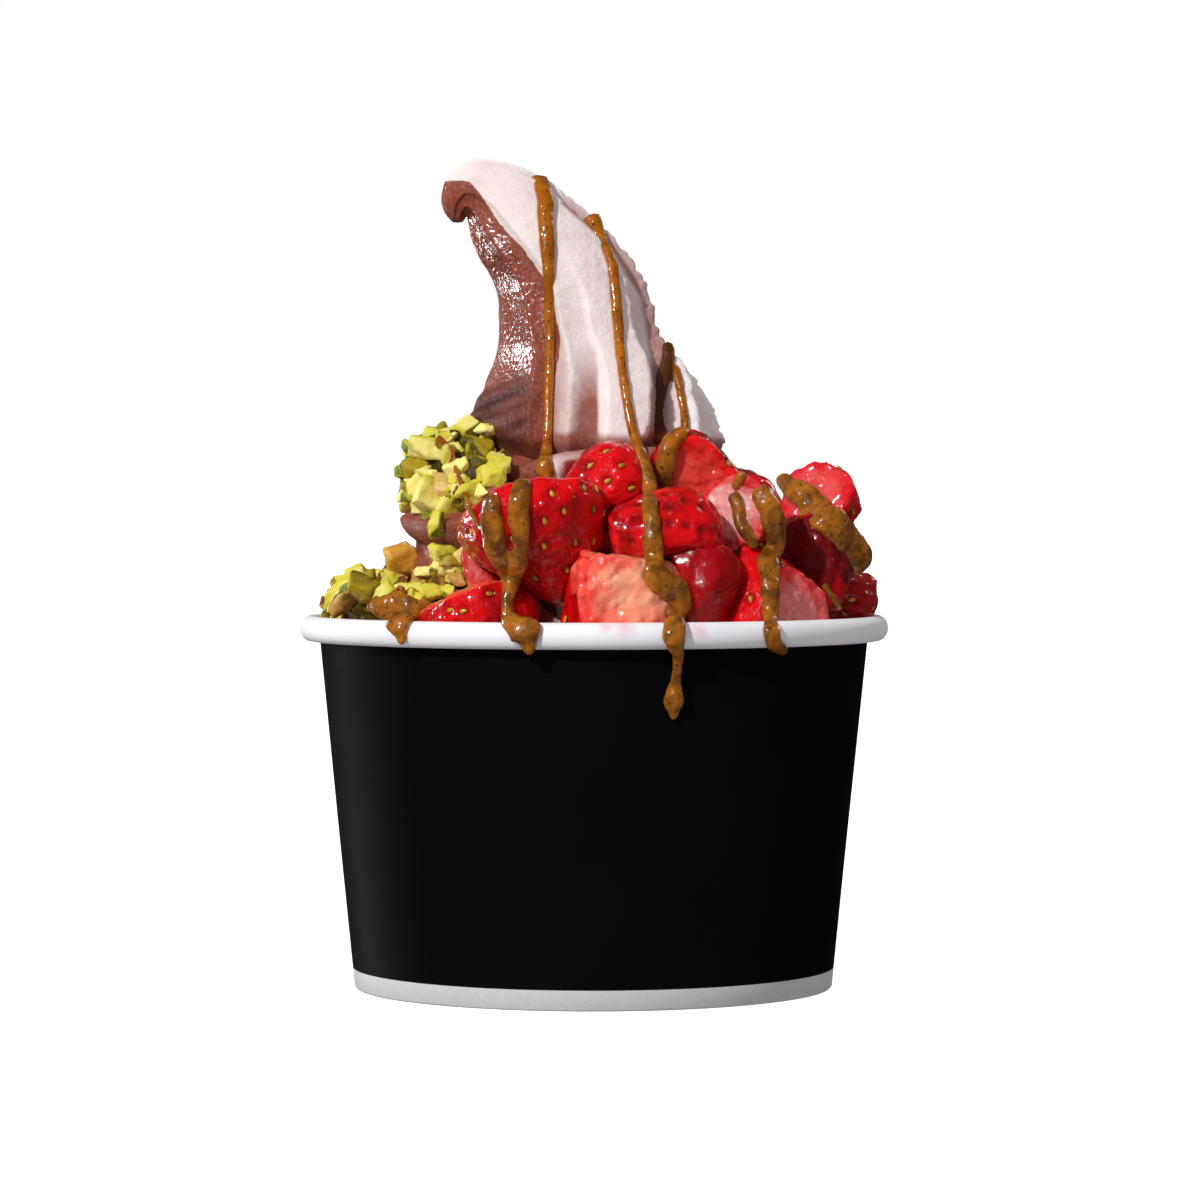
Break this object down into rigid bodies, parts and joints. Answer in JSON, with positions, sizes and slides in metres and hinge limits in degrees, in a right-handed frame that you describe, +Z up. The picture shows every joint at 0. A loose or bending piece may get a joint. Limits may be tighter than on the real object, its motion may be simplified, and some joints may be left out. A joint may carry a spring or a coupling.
{
  "type": "sundae",
  "caption": "Twist soft-serve sundae with a bent peak, cut strawberries, chopped pistachios and thick sauce, in a dark paper cup with a white rolled rim.",
  "frame": {"origin": "middle of the cup's foot, on the surface it stands on", "axes": "+Z up, -Y towards the front of the sundae, +X to the right seen from the front; the peak bends towards -X"},
  "size_m": [0.096, 0.0966, 0.1342],
  "materials": {
    "cup_paper": "matte",
    "cup_white_paper": "satin",
    "chocolate_ice": "satin",
    "vanilla_ice": "satin",
    "strawberry": "gloss",
    "pistachio": "satin",
    "sauce": "gloss"
  },
  "bodies": {
    "root": {"cup_floor": "cup_white_paper", "cup_wall": "cup_paper", "pistachio_lower": "pistachio", "pistachio_upper": "pistachio", "soft_serve_chocolate": "chocolate_ice", "soft_serve_vanilla": "vanilla_ice", "strawberry_back_1": "strawberry", "strawberry_back_2": "strawberry", "strawberry_back_3": "strawberry", "strawberry_back_4": "strawberry", "strawberry_back_5": "strawberry", "strawberry_back_6": "strawberry", "strawberry_back_7": "strawberry", "strawberry_back_8": "strawberry", "strawberry_front_band": "strawberry", "strawberry_front_centre": "strawberry", "strawberry_front_clear": "strawberry", "strawberry_front_dark": "strawberry", "strawberry_front_left": "strawberry", "strawberry_front_right": "strawberry", "strawberry_left_low": "strawberry", "strawberry_left_small": "strawberry", "strawberry_right_deep": "strawberry", "strawberry_right_inner": "strawberry", "strawberry_right_rim": "strawberry", "strawberry_right_shoulder": "strawberry", "strawberry_right_slice": "strawberry", "strawberry_upper_front": "strawberry", "strawberry_upper_right": "strawberry"}
  },
  "joints": []
}
